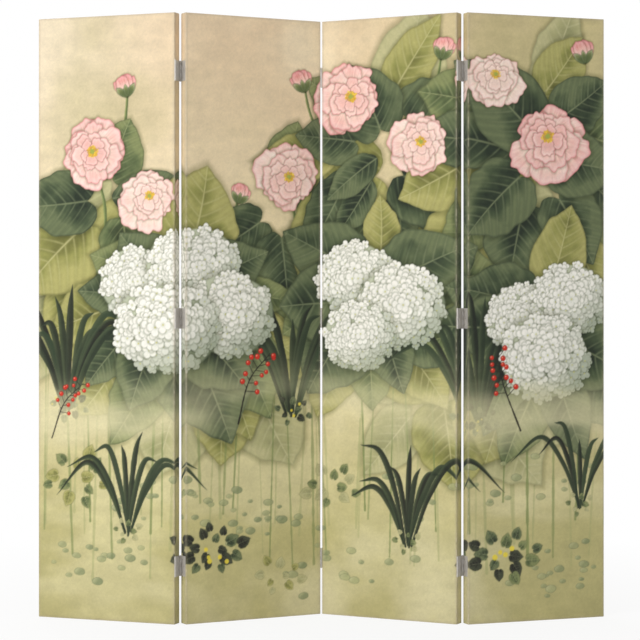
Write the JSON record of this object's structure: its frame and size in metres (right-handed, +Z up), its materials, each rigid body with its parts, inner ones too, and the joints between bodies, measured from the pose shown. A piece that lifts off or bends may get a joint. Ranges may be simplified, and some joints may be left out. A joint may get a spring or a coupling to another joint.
{
  "type": "folding screen",
  "caption": "Free-standing folding screen of tall wrapped-canvas panels, joined by two-way hinges that let each fold close either way.",
  "frame": {"origin": "on the floor, under the middle of the screen's bounding box as it stands in the pictured zigzag", "axes": "X runs along the screen's width, -Y points to the front, +Z is up"},
  "size_m": [1.7032, 0.2544, 1.8],
  "materials": {
    "printed_canvas": "printed cotton canvas, matte",
    "back_canvas": "cotton canvas with a sparse print, matte",
    "stretcher_wood": "planed softwood, untreated",
    "hinge_metal": "satin nickel-plated steel",
    "screw_metal": "satin nickel-plated steel"
  },
  "bodies": {
    "panel_1": {"panel_1_front_canvas": "printed_canvas", "panel_1_back_canvas": "back_canvas", "panel_1_left_stile": "stretcher_wood", "panel_1_right_stile": "stretcher_wood", "panel_1_bottom_rail": "stretcher_wood", "panel_1_lower_cross_rail": "stretcher_wood", "panel_1_upper_cross_rail": "stretcher_wood", "panel_1_top_rail": "stretcher_wood", "fold_1_left_leaves": "hinge_metal", "fold_1_left_screws": "screw_metal"},
    "link_1": {"fold_1_links": "hinge_metal", "fold_1_front_pins": "screw_metal", "fold_1_back_pins": "screw_metal"},
    "panel_2": {"panel_2_front_canvas": "printed_canvas", "panel_2_back_canvas": "back_canvas", "panel_2_left_stile": "stretcher_wood", "panel_2_right_stile": "stretcher_wood", "panel_2_bottom_rail": "stretcher_wood", "panel_2_lower_cross_rail": "stretcher_wood", "panel_2_upper_cross_rail": "stretcher_wood", "panel_2_top_rail": "stretcher_wood", "fold_2_left_leaves": "hinge_metal", "fold_2_left_screws": "screw_metal", "fold_1_right_leaves": "hinge_metal", "fold_1_right_screws": "screw_metal"},
    "link_2": {"fold_2_links": "hinge_metal", "fold_2_front_pins": "screw_metal", "fold_2_back_pins": "screw_metal"},
    "panel_3": {"panel_3_front_canvas": "printed_canvas", "panel_3_back_canvas": "back_canvas", "panel_3_left_stile": "stretcher_wood", "panel_3_right_stile": "stretcher_wood", "panel_3_bottom_rail": "stretcher_wood", "panel_3_lower_cross_rail": "stretcher_wood", "panel_3_upper_cross_rail": "stretcher_wood", "panel_3_top_rail": "stretcher_wood", "fold_3_left_leaves": "hinge_metal", "fold_3_left_screws": "screw_metal", "fold_2_right_leaves": "hinge_metal", "fold_2_right_screws": "screw_metal"},
    "link_3": {"fold_3_links": "hinge_metal", "fold_3_front_pins": "screw_metal", "fold_3_back_pins": "screw_metal"},
    "panel_4": {"panel_4_front_canvas": "printed_canvas", "panel_4_back_canvas": "back_canvas", "panel_4_left_stile": "stretcher_wood", "panel_4_right_stile": "stretcher_wood", "panel_4_bottom_rail": "stretcher_wood", "panel_4_lower_cross_rail": "stretcher_wood", "panel_4_upper_cross_rail": "stretcher_wood", "panel_4_top_rail": "stretcher_wood", "fold_3_right_leaves": "hinge_metal", "fold_3_right_screws": "screw_metal"}
  },
  "joints": [
    {"name": "fold_1_back_pin", "type": "hinge", "parent": "panel_2", "child": "link_1", "pos_m": [-0.41669, -0.09165, 0.9], "axis": [0, 0, -1], "range_deg": [-49.5, 130.5]},
    {"name": "fold_1_front_pin", "type": "hinge", "parent": "link_1", "child": "panel_1", "pos_m": [-0.42959, -0.12526, 0.9], "axis": [0, 0, 1], "range_deg": [0, 180]},
    {"name": "fold_2_front_pin", "type": "hinge", "parent": "link_2", "child": "panel_2", "pos_m": [0, 0.09363, 0.9], "axis": [0, 0, 1], "range_deg": [-57, 123]},
    {"name": "fold_2_back_pin", "type": "hinge", "parent": "link_2", "child": "panel_3", "pos_m": [0.01718, 0.12526, 0.9], "axis": [0, 0, 1], "range_deg": [0, 180]},
    {"name": "fold_3_front_pin", "type": "hinge", "parent": "panel_3", "child": "link_3", "pos_m": [0.39951, -0.12329, 0.9], "axis": [0, 0, -1], "range_deg": [0, 180]},
    {"name": "fold_3_back_pin", "type": "hinge", "parent": "link_3", "child": "panel_4", "pos_m": [0.41669, -0.09165, 0.9], "axis": [0, 0, 1], "range_deg": [-49.5, 130.5]}
  ]
}
